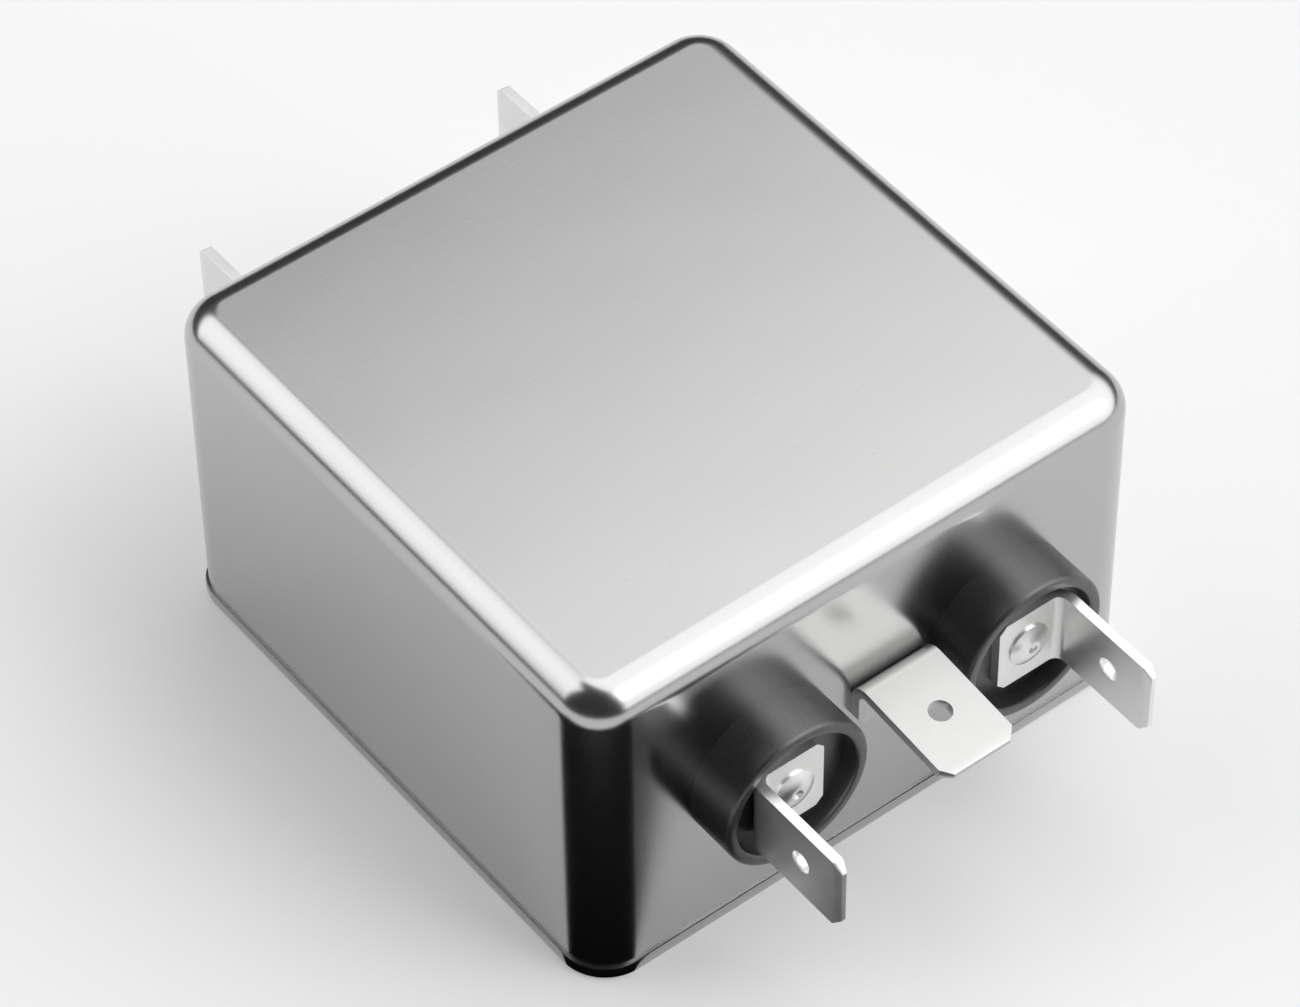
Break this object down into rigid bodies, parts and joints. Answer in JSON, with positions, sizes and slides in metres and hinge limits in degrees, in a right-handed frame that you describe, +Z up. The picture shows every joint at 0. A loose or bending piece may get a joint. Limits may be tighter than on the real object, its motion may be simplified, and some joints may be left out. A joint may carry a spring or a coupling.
{
  "type": "emi line filter",
  "caption": "Two-wire mains noise filter in a drawn square metal can, with riveted quick-connect tabs on two faces and a ground tab.",
  "frame": {"origin": "on the supporting surface, under the middle of the part's box", "axes": "+Z up through the can's top, -Y out of the face with the ground tab (line side), +Y out of the load face, X across the two terminals of a face"},
  "size_m": [0.048, 0.073, 0.0284],
  "materials": {
    "can_plate": "bright tin plate on drawn steel, satin",
    "closing_plate": "tin-plated sheet, satin",
    "insert_steel": "plated clinch nut",
    "terminal_tin": "tin-plated brass strip",
    "rivet_tin": "tin-plated, headed",
    "lug_brass": "plain stamped brass",
    "bushing_black": "moulded black phenolic, half gloss",
    "fibre_board": "vulcanised fibre, matt",
    "coated_ferrite": "ferrite ring with a thin coating",
    "divider_nylon": "natural nylon",
    "enamelled_copper": "enamelled copper wire",
    "film_yellow": "moulded box, half gloss",
    "disc_blue": "dipped epoxy coat",
    "resistor_coat": "lacquered resistor",
    "resin_black": "cast potting resin"
  },
  "bodies": {
    "root": {"can": "can_plate", "base_plate": "closing_plate", "base_insulator": "fibre_board", "base_inserts": "insert_steel", "ground_terminal": "terminal_tin", "line_bushing_left": "bushing_black", "line_bushing_right": "bushing_black", "load_bushing_left": "bushing_black", "load_bushing_right": "bushing_black", "line_terminal_left": "terminal_tin", "line_terminal_right": "terminal_tin", "load_terminal_left": "terminal_tin", "load_terminal_right": "terminal_tin", "line_washer_left": "fibre_board", "line_washer_right": "fibre_board", "load_washer_left": "fibre_board", "load_washer_right": "fibre_board", "line_lug_left": "lug_brass", "line_lug_right": "lug_brass", "load_lug_left": "lug_brass", "load_lug_right": "lug_brass", "line_rivet_left": "rivet_tin", "line_rivet_right": "rivet_tin", "load_rivet_left": "rivet_tin", "load_rivet_right": "rivet_tin", "choke_core": "coated_ferrite", "choke_divider": "divider_nylon", "winding_left": "enamelled_copper", "winding_right": "enamelled_copper", "film_capacitor": "film_yellow", "disc_capacitor_left": "disc_blue", "disc_capacitor_right": "disc_blue", "bleed_resistor": "resistor_coat", "grounding_tag": "terminal_tin", "potting_resin": "resin_black"}
  },
  "joints": []
}
